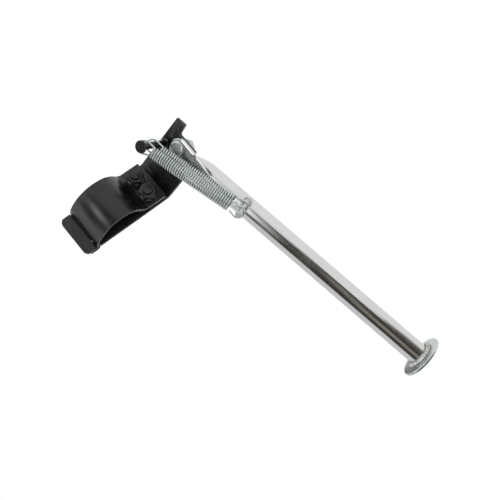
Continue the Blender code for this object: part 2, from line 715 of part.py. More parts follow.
def report_joints():
    """Print each joint's place, axis and range, and how far a spring turns with the leg."""
    flat_pivot = Vector((PIVOT_X, PIVOT_P))
    flat_post = Vector((POST_X, POST_P))
    print("leg pivot", rounded_list(PIVOT), "axis", rounded_list(N_AXIS))
    print("spring post", rounded_list(on_plate(POST_X, POST_P)))
    foot = LEG_ROOT + LEG_AXIS * (LEG_LENGTH + FOOT_THICKNESS)
    print("foot face", rounded_list(foot), "axis", rounded_list(LEG_AXIS))
    for name, heights in SPRINGS.items():
        pin = spring_ends(*heights)[1] - BEND
        arm = Vector((pin.dot(X_AXIS), pin.dot(P_AXIS))) - flat_pivot
        lines = []
        for swing in (0, LEG_SWING):
            swung = arm.copy()
            swung.rotate(Matrix.Rotation(swing, 2))
            lines.append(flat_pivot + swung - flat_post)
        folded, lowered = lines
        turn = atan2(lowered.y, lowered.x) - atan2(folded.y, folded.x)
        slack = (folded.length - lowered.length) / MM
        play = 2 * (PIN_LOOP - PIN_RADIUS - GAP) / MM
        print("%s: turns %.3f deg, ratio %.4f, shortens %.2f mm in a loop with %.2f mm of play"
              % (name, degrees(turn), turn / LEG_SWING, slack, play))


build_bracket()
build_strap()
build_clamp_bolts()
build_pivot()
build_leg()
build_anchor()
build_post()
build_springs()
report_joints()
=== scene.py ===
"""The looks of a clamp-on kickstand: its painted bracket, chromed leg, zinc springs and fasteners.

Every piece lies in the frame's own coordinates: metres, X along the swingarm, Y outboard, Z up.
"""

import json
import logging
import math
from dataclasses import dataclass, field
from enum import Enum
from typing import Iterable, Optional, Sequence, Union

import bmesh
import bpy
from mathutils import Matrix, Vector


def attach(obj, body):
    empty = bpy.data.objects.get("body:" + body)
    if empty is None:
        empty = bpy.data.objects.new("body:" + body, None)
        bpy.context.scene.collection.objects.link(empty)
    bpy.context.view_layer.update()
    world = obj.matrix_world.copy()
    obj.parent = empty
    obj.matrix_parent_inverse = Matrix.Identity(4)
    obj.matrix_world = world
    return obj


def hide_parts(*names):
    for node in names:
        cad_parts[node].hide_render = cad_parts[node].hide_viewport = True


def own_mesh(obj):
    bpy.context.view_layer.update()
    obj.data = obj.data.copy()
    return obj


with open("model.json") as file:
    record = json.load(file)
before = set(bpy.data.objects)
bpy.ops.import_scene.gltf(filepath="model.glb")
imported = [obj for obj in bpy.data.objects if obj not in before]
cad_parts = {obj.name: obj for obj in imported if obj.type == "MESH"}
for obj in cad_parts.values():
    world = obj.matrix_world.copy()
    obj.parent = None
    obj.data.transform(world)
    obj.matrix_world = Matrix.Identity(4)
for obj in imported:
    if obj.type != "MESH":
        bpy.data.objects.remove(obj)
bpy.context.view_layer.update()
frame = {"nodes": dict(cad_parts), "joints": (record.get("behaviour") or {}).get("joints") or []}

LOG = logging.getLogger("kickstand")
MM = 0.001
GAP = 0.3 * MM
SAME_POINT = 0.001 * MM
FLAT_ANGLE = math.radians(0.6)
CORNER_ANGLE = math.radians(40.0)

Number = Union[float, "Value"]
Colour = tuple[float, float, float]


# ---------------------------------------------------------------- directions of the part

@dataclass(frozen=True)
class Axes:
    """Directions and places that every sub-assembly shares, taken from the leg's joint.

    Attributes:
        pivot: Centre of the pivot on the plate's face.
        normal: Direction out of the plate's face, along the pivot bolt.
        post: Foot of the spring post on the plate's face.
        sweep: Angle of the leg from X, within the plate's plane.
        crank: Angle by which the tube drops behind the plate's plane.
    """

    pivot: Vector
    normal: Vector
    post: Vector
    sweep: float = math.radians(-1.05)
    crank: float = math.radians(19.5)

    @property
    def along(self) -> Vector:
        """Direction of the tongue, in the plate's plane."""
        swept = Vector((1, 0, 0))
        swept.rotate(Matrix.Rotation(self.sweep, 3, self.normal))
        return swept

    @property
    def across(self) -> Vector:
        """Direction square to the tongue, in the plate's plane."""
        return self.normal.cross(self.along)

    @property
    def leg(self) -> Vector:
        """Direction of the tube's axis, towards the foot."""
        return self.along * math.cos(self.crank) - self.normal * math.sin(self.crank)

    @property
    def leg_up(self) -> Vector:
        """Direction square to the tube on its outboard side."""
        return self.leg.cross(self.across)

    def on_pivot(self) -> Matrix:
        """Local frame at the pivot, its Z along the bolt."""
        return local_frame(self.along, self.across, self.normal, self.pivot)

    def on_leg(self, root: Vector) -> Matrix:
        """Local frame with its Z along the tube.

        Args:
            root: Point on the tube's axis that becomes the origin.

        Returns:
            The frame's matrix.
        """
        return local_frame(self.leg_up, -self.across, self.leg, root)


def local_frame(x_axis: Vector, y_axis: Vector, z_axis: Vector, origin: Vector) -> Matrix:
    """Matrix of a frame with the given axes.

    Args:
        x_axis: Direction of local X.
        y_axis: Direction of local Y.
        z_axis: Direction of local Z.
        origin: Place of the local origin.

    Returns:
        The matrix from local to shared coordinates.
    """
    turn = Matrix((x_axis, y_axis, z_axis)).transposed().to_4x4()
    return Matrix.Translation(origin) @ turn


def read_axes() -> Axes:
    """Axes of the part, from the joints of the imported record."""
    joints = {joint["name"]: joint for joint in frame["joints"]}
    pivot = joints["leg_pivot"]
    post = joints["outer_spring_swing"]
    return Axes(Vector(pivot["pos_m"]), Vector(pivot["axis"]).normalized(), Vector(post["pos_m"]))


# ---------------------------------------------------------------- shader maths

class Value:
    """A number that varies over a surface: a socket with arithmetic."""

    def __init__(self, graph: "Graph", socket: bpy.types.NodeSocket) -> None:
        """Wrap a socket.

        Args:
            graph: Graph that the socket is in.
            socket: Output that holds the number.
        """
        self.graph = graph
        self.socket = socket

    def _math(self, operation: str, first: Number, second: Number = 0.0) -> "Value":
        """Math node of two numbers.

        Args:
            operation: Name of the Math node's operation.
            first: Its first input.
            second: Its second input.

        Returns:
            The node's result.
        """
        made = self.graph.node("ShaderNodeMath", {"operation": operation}, {0: first, 1: second})
        return Value(self.graph, made.outputs[0])

    def __add__(self, other: Number) -> "Value":
        """Sum."""
        return self._math("ADD", self, other)

    def __radd__(self, other: Number) -> "Value":
        """Sum with a plain number in front."""
        return self._math("ADD", other, self)

    def __sub__(self, other: Number) -> "Value":
        """Difference."""
        return self._math("SUBTRACT", self, other)

    def __mul__(self, other: Number) -> "Value":
        """Product."""
        return self._math("MULTIPLY", self, other)

    def __rmul__(self, other: Number) -> "Value":
        """Product with a plain number in front."""
        return self._math("MULTIPLY", other, self)

    def clamp(self) -> "Value":
        """The number held between 0 and 1."""
        made = self.graph.node("ShaderNodeClamp", {}, {0: self})
        return Value(self.graph, made.outputs[0])


class Graph:
    """A material's node tree round one Principled shader."""

    def __init__(self, name: str) -> None:
        """Start a material.

        Args:
            name: Name of the material.
        """
        self.material = bpy.data.materials.new(name)
        self.material.use_nodes = True
        self.tree = self.material.node_tree
        self.shader = self.tree.nodes["Principled BSDF"]
        place = self.node("ShaderNodeTexCoord", {}, {})
        self.place = place.outputs["Object"]

    def node(self, kind: str, settings: dict, inputs: dict) -> bpy.types.Node:
        """Add a node.

        Args:
            kind: Blender's name of the node type.
            settings: Attributes set before the inputs.
            inputs: Values, sockets or Value objects for the node's inputs.

        Returns:
            The node.
        """
        made = self.tree.nodes.new(kind)
        for key, setting in settings.items():
            setattr(made, key, setting)
        for key, given in inputs.items():
            self.feed(made.inputs[key], given)
        return made

    def feed(self, socket: bpy.types.NodeSocket, given: object) -> None:
        """Set or link an input.

        Args:
            socket: Input to feed.
            given: A Value, a socket, a number or a colour.
        """
        if isinstance(given, Value):
            self.tree.links.new(given.socket, socket)
        elif isinstance(given, bpy.types.NodeSocket):
            self.tree.links.new(given, socket)
        elif isinstance(given, tuple) and socket.type == "RGBA":
            socket.default_value = (*given, 1.0)
        else:
            socket.default_value = given

    def noise(self, scale: float, detail: float = 3.0, stretch: Optional[Vector] = None,
              turn: Optional[Vector] = None) -> Value:
        """Noise over the object's own coordinates.

        Args:
            scale: Cells per metre.
            detail: Number of finer layers.
            stretch: Scale along each axis, for brushed or drawn metal.
            turn: Rotation of the pattern, as Euler angles.

        Returns:
            The noise, from 0 to 1.
        """
        place = self.place
        if stretch is not None:
            mapping = self.node("ShaderNodeMapping", {}, {"Vector": place, "Scale": stretch})
            if turn is not None:
                mapping.inputs["Rotation"].default_value = turn
            place = mapping.outputs[0]
        made = self.node("ShaderNodeTexNoise", {}, {"Vector": place, "Scale": scale, "Detail": detail})
        return Value(self, made.outputs["Fac"])

    def spread(self, source: Value, low: float, high: float) -> Value:
        """Contrast: numbers between low and high opened to 0 to 1.

        Args:
            source: Number to spread.
            low: Number that becomes 0.
            high: Number that becomes 1.

        Returns:
            The spread number, held between 0 and 1.
        """
        made = self.node("ShaderNodeMapRange", {"clamp": True},
                         {"Value": source, "From Min": low, "From Max": high})
        return Value(self, made.outputs[0])

    def blend(self, share: Number, first: object, second: object) -> bpy.types.NodeSocket:
        """Mix of two colours.

        Args:
            share: Share of the second colour.
            first: First colour or its socket.
            second: Second colour or its socket.

        Returns:
            The mixed colour's socket.
        """
        made = self.node("ShaderNodeMix", {"data_type": "RGBA"}, {0: share, 6: first, 7: second})
        return made.outputs[2]

    def relief(self, height: Value, depth: float, strength: float = 1.0) -> None:
        """Bump on the shader's normal.

        Args:
            height: Height, from 0 to 1.
            depth: Height of 1 in metres.
            strength: Strength of the bump.
        """
        made = self.node("ShaderNodeBump", {},
                         {"Height": height, "Distance": depth, "Strength": strength})
        self.feed(self.shader.inputs["Normal"], made.outputs[0])

    def surface(self, **inputs: object) -> bpy.types.Material:
        """Feed the shader and give the material.

        Args:
            **inputs: The shader's inputs, with _ for a space in their names.

        Returns:
            The finished material.
        """
        for key, given in inputs.items():
            self.feed(self.shader.inputs[key.replace("_", " ")], given)
        return self.material


# ---------------------------------------------------------------- finishes

@dataclass(frozen=True)
class GlossPaint:
    """Black gloss paint with a faint orange peel, dust and thin spots.

    Attributes:
        colour: Colour of the paint.
        dust: Colour of the dust on it.
        roughness: Roughness of clean paint.
        gloss: Strength of its mirror sheen.
        cloud: Cells of its uneven patches per metre.
        specks: Dust specks per metre.
        peel: Cells of the orange peel per metre.
        grain: Cells of the fine grain per metre.
        depth: Depth of both in metres.
    """

    colour: Colour = (0.0035, 0.0035, 0.0038)
    dust: Colour = (0.030, 0.029, 0.028)
    roughness: float = 0.20
    gloss: float = 0.42
    cloud: float = 55.0
    specks: float = 1900.0
    peel: float = 420.0
    grain: float = 2400.0
    depth: float = 0.05 * MM

    def build(self) -> bpy.types.Material:
        """Material of the paint."""
        graph = Graph("gloss_black_paint")
        cloud = graph.noise(self.cloud, 4.0)
        specks = graph.spread(graph.noise(self.specks, 2.0), 0.68, 0.80)
        dusty = (graph.spread(cloud, 0.5, 0.8) * 0.3 + specks * 0.4).clamp()
        skin = graph.noise(self.peel, 2.0) * 0.7 + graph.noise(self.grain, 2.0) * 0.3
        graph.relief(skin, self.depth, 0.5)
        return graph.surface(
            Base_Color=graph.blend(dusty, self.colour, self.dust),
            Roughness=self.roughness + 0.16 * cloud + 0.2 * specks,
            Specular_IOR_Level=self.gloss,
        )


@dataclass(frozen=True)
class ChromePlate:
    """Bright chrome plate with drawn lines along the tube and faint haze.

    Attributes:
        colour: Colour of clean chrome.
        haze: Colour where the plate is hazed.
        roughness: Roughness of clean chrome.
        cloud: Cells of the haze per metre.
        lines: Drawn lines per metre.
        pits: Pits per metre.
        swell: Cells of the tube's slow waves per metre.
        depth: Depth of its lines and pits in metres.
        stretch: Scale along each axis that draws the lines out.
        turn: Rotation that lays the drawn lines along the tube.
    """

    colour: Colour = (0.56, 0.56, 0.55)
    haze: Colour = (0.46, 0.46, 0.435)
    roughness: float = 0.10
    cloud: float = 38.0
    lines: float = 260.0
    pits: float = 1500.0
    swell: float = 90.0
    depth: float = 0.02 * MM
    stretch: tuple[float, float, float] = (0.06, 1.0, 1.0)
    turn: tuple[float, float, float] = (0.0, 0.24, -0.25)

    def build(self) -> bpy.types.Material:
        """Material of the plate."""
        graph = Graph("bright_chrome")
        cloud = graph.spread(graph.noise(self.cloud, 5.0), 0.42, 0.75)
        lines = graph.noise(self.lines, 3.0, Vector(self.stretch), Vector(self.turn))
        pits = graph.spread(graph.noise(self.pits, 2.0), 0.70, 0.80)
        graph.relief(lines * 0.6 + graph.noise(self.swell, 2.0) * 0.4 - pits * 0.5, self.depth, 0.35)
        return graph.surface(
            Base_Color=graph.blend((cloud * 0.35 + pits * 0.5).clamp(), self.colour, self.haze),
            Metallic=1.0,
            Roughness=self.roughness + 0.07 * cloud + 0.03 * lines + 0.25 * pits,
        )


@dataclass(frozen=True)
class ZincPlate:
    """Light zinc plate, faintly green, with a soft cloud and fine grain.

    Attributes:
        colour: Colour of the plate.
        tarnish: Colour of its dull spots.
        roughness: Roughness of the plate.
        cloud: Cells of its uneven patches per metre.
        grain: Cells of its fine grain per metre.
        spots: Dull spots per metre.
        depth: Depth of its grain in metres.
    """

    colour: Colour = (0.50, 0.535, 0.52)
    tarnish: Colour = (0.30, 0.33, 0.31)
    roughness: float = 0.26
    cloud: float = 150.0
    grain: float = 2600.0
    spots: float = 700.0
    depth: float = 0.03 * MM

    def build(self) -> bpy.types.Material:
        """Material of the plate."""
        graph = Graph("light_zinc")
        cloud = graph.noise(self.cloud, 4.0)
        grain = graph.noise(self.grain, 3.0)
        spots = graph.spread(graph.noise(self.spots, 3.0), 0.58, 0.78)
        graph.relief(grain * 0.5 + cloud * 0.5, self.depth, 0.4)
        dull = (graph.spread(cloud, 0.4, 0.75) * 0.5 + spots * 0.4).clamp()
        return graph.surface(
            Base_Color=graph.blend(dull, self.colour, self.tarnish),
            Metallic=1.0,
            Roughness=self.roughness + 0.14 * cloud + 0.15 * spots,
        )


@dataclass(frozen=True)
class BareMetal:
    """Turned or pressed metal without a plate.

    Attributes:
        name: Name of the material.
        colour: Colour of the metal.
        stain: Colour of its stains.
        roughness: Roughness of the metal.
        depth: Depth of its grain in metres.
        cloud: Cells of its stains per metre.
        grain: Cells of its grain per metre.
    """

    name: str
    colour: Colour
    stain: Colour
    roughness: float
    depth: float
    cloud: float = 240.0
    grain: float = 3200.0

    def build(self) -> bpy.types.Material:
        """Material of the metal."""
        graph = Graph(self.name)
        cloud = graph.noise(self.cloud, 5.0)
        grain = graph.noise(self.grain, 3.0)
        stained = graph.spread(cloud, 0.40, 0.72)
        graph.relief(grain * 0.6 + cloud * 0.4, self.depth, 0.6)
        return graph.surface(
            Base_Color=graph.blend(stained, self.colour, self.stain),
            Metallic=1.0,
            Roughness=self.roughness + 0.2 * cloud,
        )


class Finish(Enum):
    """Finishes of the kickstand, by the record's material slots."""

    PAINT = "black_paint"
    CHROME = "chrome"
    ZINC = "zinc"
    STEEL = "steel"
    BRONZE = "bronze"
    WELD = "weld"

    @property
    def recipe(self) -> Union[GlossPaint, ChromePlate, ZincPlate, BareMetal]:
        """What the finish is made of."""
        return {
            Finish.PAINT: GlossPaint(),
            Finish.CHROME: ChromePlate(),
            Finish.ZINC: ZincPlate(),
            Finish.STEEL: BareMetal("plain_steel", (0.42, 0.42, 0.41), (0.25, 0.24, 0.22), 0.30, 0.03 * MM),
            Finish.BRONZE: BareMetal("oiled_bronze", (0.45, 0.30, 0.15), (0.30, 0.18, 0.08), 0.34, 0.02 * MM),
            Finish.WELD: BareMetal("plated_weld", (0.52, 0.52, 0.50), (0.20, 0.18, 0.16), 0.28, 0.08 * MM),
        }[self]


class Palette:
    """The finishes' materials, each built once."""

    def __init__(self) -> None:
        """Start with no material built."""
        self.built: dict[Finish, bpy.types.Material] = {}

    def get(self, finish: Finish) -> bpy.types.Material:
        """Material of a finish.

        Args:
            finish: The finish.

        Returns:
            Its material.
        """
        if finish not in self.built:
            self.built[finish] = finish.recipe.build()
        return self.built[finish]


# ---------------------------------------------------------------- mesh tools

class Workshop:
    """Makes pieces from meshes, dresses them and puts them on their bodies."""

    def __init__(self, palette: Palette) -> None:
        """Start with a palette.

        Args:
            palette: Materials of the finishes.
        """
        self.palette = palette

    def piece(self, name: str, shape: bmesh.types.BMesh, finish: Finish, body: str,
              stands_for: Sequence[str] = (), matrix: Optional[Matrix] = None,
              sharp: float = 35.0) -> bpy.types.Object:
        """Make an object from a shape, with its place in its mesh.

        Args:
            name: Name of the piece.
            shape: Its mesh; it is freed.
            finish: Its finish.
            body: Body that it rides on.
            stands_for: Nodes that it replaces.
            matrix: Where it goes, if the shape is in local coordinates.
            sharp: Angle in degrees above which an edge stays sharp.

        Returns:
            The object.
        """
        if matrix is not None:
            bmesh.ops.transform(shape, matrix=matrix, verts=shape.verts)
        mesh = bpy.data.meshes.new(name)
        shape.to_mesh(mesh)
        shape.free()
        mesh.shade_smooth()
        mesh.set_sharp_from_angle(angle=math.radians(sharp))
        mesh.materials.append(self.palette.get(finish))
        made = bpy.data.objects.new(name, mesh)
        bpy.context.scene.collection.objects.link(made)
        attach(made, body)
        if stands_for:
            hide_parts(*stands_for)
        LOG.info("%s: %d faces on %s", name, len(mesh.polygons), body)
        return made

    def refined(self, node: str, finish: Finish, body: str, edge: float,
                segments: int = 2) -> bpy.types.Object:
        """Copy a node with clean faces and softened edges, and let it stand for the node.

        Args:
            node: The node.
            finish: Its finish.
            body: Body that it rides on.
            edge: Width of the softened edges in metres.
            segments: Faces across a softened edge.

        Returns:
            The piece.
        """
        shape = bmesh.new()
        shape.from_mesh(frame["nodes"][node].data)
        bmesh.ops.remove_doubles(shape, verts=shape.verts, dist=2 * SAME_POINT)
        bmesh.ops.dissolve_limit(shape, angle_limit=FLAT_ANGLE, verts=shape.verts, edges=shape.edges)
        corners = [item for item in shape.edges
                   if item.is_manifold and item.calc_face_angle(0) > CORNER_ANGLE]
        bmesh.ops.bevel(shape, geom=corners, offset=edge, offset_type="OFFSET", segments=segments,
                        profile=0.5, affect="EDGES", material=-1, clamp_overlap=True)
        return self.piece(node + "_shell", shape, finish, body, (node,))

    def dress(self, nodes: Iterable[str], finish: Finish) -> None:
        """Give CAD nodes a finish.

        Args:
            nodes: Names of the nodes.
            finish: Their finish.
        """
        for node in nodes:
            mesh = frame["nodes"][node].data
            mesh.materials.clear()
            mesh.materials.append(self.palette.get(finish))
            LOG.info("%s: %s", node, finish.value)


def turned(profile: Sequence[tuple[float, float]], steps: int) -> bmesh.types.BMesh:
    """Ring turned round local Z.

    Args:
        profile: Radius and height pairs round the ring's section.
        steps: Faces round the ring.

    Returns:
        The ring.
    """
    shape = bmesh.new()
    verts = [shape.verts.new((radius, 0, height)) for radius, height in profile]
    edges = [shape.edges.new((verts[i - 1], verts[i])) for i in range(len(verts))]
    bmesh.ops.spin(shape, geom=verts + edges, cent=(0, 0, 0), axis=(0, 0, 1), dvec=(0, 0, 0),
                   angle=2 * math.pi, steps=steps, use_merge=True, use_duplicate=False)
    bmesh.ops.remove_doubles(shape, verts=shape.verts, dist=SAME_POINT)
    bmesh.ops.recalc_face_normals(shape, faces=shape.faces)
    return shape


def loft(rings: Sequence[Sequence[Vector]]) -> bmesh.types.BMesh:
    """Closed skin through rings of equal counts.

    Args:
        rings: Points of each ring.

    Returns:
        The shape.
    """
    shape = bmesh.new()
    loops = []
    for ring in rings:
        verts = [shape.verts.new(point) for point in ring]
        loops.append([shape.edges.new((verts[i - 1], verts[i])) for i in range(len(verts))])
    for first, second in zip(loops, loops[1:]):
        bmesh.ops.bridge_loops(shape, edges=first + second)
    for loop in (loops[0], loops[-1]):
        bmesh.ops.contextual_create(shape, geom=loop)
    bmesh.ops.recalc_face_normals(shape, faces=shape.faces)
    return shape


def wire_shape(path: Sequence[Vector], radius: float, fineness: int) -> bmesh.types.BMesh:
    """Round wire along a path.

    Args:
        path: Points of the wire's middle.
        radius: Radius of the wire.
        fineness: Resolution of its round section.

    Returns:
        The wire as one closed shape.
    """
    curve = bpy.data.curves.new("wire", "CURVE")
    curve.dimensions = "3D"
    curve.bevel_depth = radius
    curve.bevel_resolution = fineness
    curve.use_fill_caps = True
    spline = curve.splines.new("POLY")
    spline.points.add(len(path) - 1)
    for point, place in zip(spline.points, path):
        point.co = (*place, 1)
    holder = bpy.data.objects.new("wire", curve)
    bpy.context.scene.collection.objects.link(holder)
    bpy.context.view_layer.update()
    graph = bpy.context.evaluated_depsgraph_get()
    mesh = bpy.data.meshes.new_from_object(holder.evaluated_get(graph))
    bpy.data.objects.remove(holder, do_unlink=True)
    shape = bmesh.new()
    shape.from_mesh(mesh)
    bpy.data.meshes.remove(mesh)
    bmesh.ops.remove_doubles(shape, verts=shape.verts, dist=SAME_POINT)
    bmesh.ops.recalc_face_normals(shape, faces=shape.faces)
    return shape


# ---------------------------------------------------------------- sub-assemblies

@dataclass
class Clamp:
    """Bracket, strap and the two bolts that grip the swingarm.

    Attributes:
        shop: Maker of the pieces.
        sheet_edge: Width of the softened edges of the sheets.
        sheet_steps: Faces across such an edge.
        nut_edge: Width of the softened edges of nuts and bolts.
    """

    shop: Workshop
    sheet_edge: float = 0.45 * MM
    sheet_steps: int = 3
    nut_edge: float = 0.25 * MM

    def build(self) -> None:
        """Make the clamp's pieces."""
        for node in ("bracket", "clamp_strap"):
            self.shop.refined(node, Finish.PAINT, "bracket", self.sheet_edge, self.sheet_steps)
        for side in ("rear", "front"):
            self.shop.refined("clamp_nut_" + side, Finish.PAINT, "bracket", self.nut_edge)
            self.shop.refined("clamp_bolt_" + side, Finish.PAINT, "bracket", self.nut_edge)
            self.shop.dress(("clamp_washer_" + side,), Finish.ZINC)
            self.shop.dress(("clamp_lock_washer_" + side,), Finish.STEEL)


@dataclass
class Pivot:
    """Pivot bolt with its nut, bush and washers.

    Attributes:
        shop: Maker of the pieces.
        edge: Width of the nut's softened edges.
    """

    shop: Workshop
    edge: float = 0.25 * MM

    def build(self) -> None:
        """Make the pivot's pieces."""
        self.shop.refined("pivot_nut", Finish.ZINC, "bracket", self.edge)
        self.shop.dress(("pivot_bolt", "pivot_washer_inner", "pivot_washer_outer"), Finish.ZINC)
        self.shop.dress(("pivot_lock_washer",), Finish.STEEL)
        self.shop.dress(("pivot_bush",), Finish.BRONZE)


@dataclass
class Leg:
    """Flattened and cranked tube with its foot, welds and spring pin.

    Attributes:
        shop: Maker of the pieces.
        axes: Directions of the part.
        tongue: Thickness of the tongue.
        tongue_low: Height of its lower face over the plate.
        tongue_half: Half of its width.
        tongue_end: Distance from the pivot at which it starts to swell into the tube.
        round_start: Distance from the pivot at which the tube is round.
        length: Distance from the pivot to the foot disc along the tube.
        radius: Outer radius of the tube at the pivot.
        radius_foot: Outer radius of the tube at the foot.
        bore: Radius of the hole for the bush.
        disc_edge: Width of the foot disc's softened edges.
        bead: Width of the weld at the foot.
        ripples: Number of the weld's ripples.
        ripple_depth: Their depth as a share of the bead.
        sides: Faces round the tube.
        bore_sides: Faces round the hole.
        end_rings: Rings of the tongue's round end.
        flat_rings: Rings between the tongue and the round tube.
        tube_rings: Rings of the round tube.
        box_power: How square the tongue's section is; 2 is an ellipse.
    """

    shop: Workshop
    axes: Axes
    tongue: float = 3.6 * MM
    tongue_low: float = 1.1 * MM
    tongue_half: float = 8.4 * MM
    tongue_end: float = 16.4 * MM
    round_start: float = 36.0 * MM
    length: float = 270.8 * MM
    radius: float = 9.0 * MM
    radius_foot: float = 9.7 * MM
    bore: float = 5.8 * MM
    disc_edge: float = 0.3 * MM
    bead: float = 3.2 * MM
    ripples: int = 34
    ripple_depth: float = 0.16
    sides: int = 64
    bore_sides: int = 48
    end_rings: int = 12
    flat_rings: int = 14
    tube_rings: int = 9
    box_power: float = 8.0

    @property
    def middle(self) -> float:
        """Height of the tongue's middle over the plate."""
        return self.tongue_low + self.tongue / 2

    @property
    def root(self) -> Vector:
        """Point where the tube's axis passes the pivot."""
        return self.axes.pivot + self.axes.normal * self.middle

    def radius_at(self, distance: float) -> float:
        """Outer radius of the tube.

        Args:
            distance: Distance from the pivot.

        Returns:
            The radius there.
        """
        return self.radius + (self.radius_foot - self.radius) * distance / self.length

    def section(self, along: float, centre: float, width: float, height: float, power: float,
                pitch: float) -> list[Vector]:
        """Ring of the leg between a flat box and a circle.

        Args:
            along: Distance from the pivot along the tongue.
            centre: Height of the ring's middle over the plate.
            width: Half of its width.
            height: Half of its height.
            power: 2 for an ellipse, more for a box with round corners.
            pitch: Angle by which the ring leans with the crank.

        Returns:
            The ring's points.
        """
        axes = self.axes
        rise = axes.normal * math.cos(pitch) + axes.along * math.sin(pitch)
        middle = axes.pivot + axes.along * along + axes.normal * centre
        ring = []
        for step in range(self.sides):
            angle = 2 * math.pi * (step + 0.5) / self.sides
            side = math.copysign(abs(math.cos(angle)) ** (2 / power), math.cos(angle))
            lift = math.copysign(abs(math.sin(angle)) ** (2 / power), math.sin(angle))
            ring.append(middle + axes.across * (side * width) + rise * (lift * height))
        return ring

    def rings(self) -> list[list[Vector]]:
        """Rings from the tongue's round end to the foot."""
        half = self.tongue / 2
        box = self.box_power
        made = []
        for step in range(1, self.end_rings + 1):
            angle = math.pi / 2 * step / self.end_rings
            width = self.tongue_half * math.sin(angle)
            made.append(self.section(-self.tongue_half * math.cos(angle), self.middle, width, half, box, 0))
        made.append(self.section(self.tongue_end * 0.6, self.middle, self.tongue_half, half, box, 0))
        top_start = self.middle + half
        drop = self.round_start * math.tan(self.axes.crank)
        top_end = self.middle - drop + self.radius / math.cos(self.axes.crank)
        for step in range(self.flat_rings):
            share = step / self.flat_rings
            swell = math.sin(share * math.pi / 2)
            height = half + (self.radius - half) * swell
            width = self.tongue_half + (self.radius - self.tongue_half) * share
            pitch = self.axes.crank * share
            top = top_start + (top_end - top_start) * share
            along = self.tongue_end + (self.round_start - self.tongue_end) * share
            made.append(self.section(along, top - height / math.cos(pitch), width, height,
                                     box + (2 - box) * swell, pitch))
        start = self.round_start / math.cos(self.axes.crank)
        for step in range(self.tube_rings):
            distance = start + (self.length - GAP - start) * step / (self.tube_rings - 1)
            ring = []
            for side in range(self.sides):
                angle = 2 * math.pi * (side + 0.5) / self.sides
                out = self.axes.across * math.cos(angle) + self.axes.leg_up * math.sin(angle)
                ring.append(self.root + self.axes.leg * distance + out * self.radius_at(distance))
            made.append(ring)
        return made

    def build_tube(self) -> None:
        """Make the tube with its tongue and the bore for the bush."""
        made = self.shop.piece("leg_tube_shell", loft(self.rings()), Finish.CHROME, "leg", ("leg_tube",))
        cutter = bmesh.new()
        bmesh.ops.create_cone(cutter, cap_ends=True, segments=self.bore_sides, radius1=self.bore,
                              radius2=self.bore, depth=4 * self.tongue, matrix=self.axes.on_pivot())
        subtract(made, cutter)

    def build_foot_weld(self) -> None:
        """Make the weld round the tube's end, with the ripples that its passes left."""
        inner = self.radius_foot + GAP
        low = self.length - GAP
        tall = 0.9 * self.bead
        facets = 8
        profile = [(inner, low)]
        for step in range(facets + 1):
            angle = math.pi / 2 * step / facets
            profile.append((inner + self.bead * math.cos(angle), low - tall * math.sin(angle)))
        shape = turned(profile, facets * self.ripples)
        for vert in shape.verts:
            turn = math.atan2(vert.co.y, vert.co.x)
            lean = (low - vert.co.z) / self.bead
            wave = abs(math.cos(self.ripples / 2 * turn + lean))
            swell = 1 - self.ripple_depth * (1 - wave)
            radius = math.hypot(vert.co.x, vert.co.y)
            share = (inner + (radius - inner) * swell) / radius
            vert.co.x *= share
            vert.co.y *= share
            vert.co.z = low - (low - vert.co.z) * swell
        self.shop.piece("foot_weld_ripples", shape, Finish.WELD, "leg", ("foot_weld_bead",),
                        self.axes.on_leg(self.root), 50.0)

    def build(self) -> None:
        """Make the leg's pieces."""
        self.build_tube()
        self.build_foot_weld()
        self.shop.refined("foot_disc", Finish.ZINC, "leg", self.disc_edge)
        self.shop.dress(("spring_anchor_pin",), Finish.ZINC)
        self.shop.dress(("anchor_weld",), Finish.WELD)


def subtract(target: bpy.types.Object, cutter: bmesh.types.BMesh) -> None:
    """Cut a shape out of a piece for good.

    Args:
        target: The piece.
        cutter: The shape; it is freed.
    """
    mesh = bpy.data.meshes.new("cutter")
    cutter.to_mesh(mesh)
    cutter.free()
    tool = bpy.data.objects.new("cutter", mesh)
    bpy.context.scene.collection.objects.link(tool)
    step = target.modifiers.new("cut", "BOOLEAN")
    step.solver = "EXACT"
    step.object = tool
    bpy.context.view_layer.update()
    graph = bpy.context.evaluated_depsgraph_get()
    cut = bpy.data.meshes.new_from_object(target.evaluated_get(graph))
    target.modifiers.clear()
    cut.name = target.name
    target.data = cut
    bpy.data.objects.remove(tool, do_unlink=True)
    bpy.data.meshes.remove(mesh)


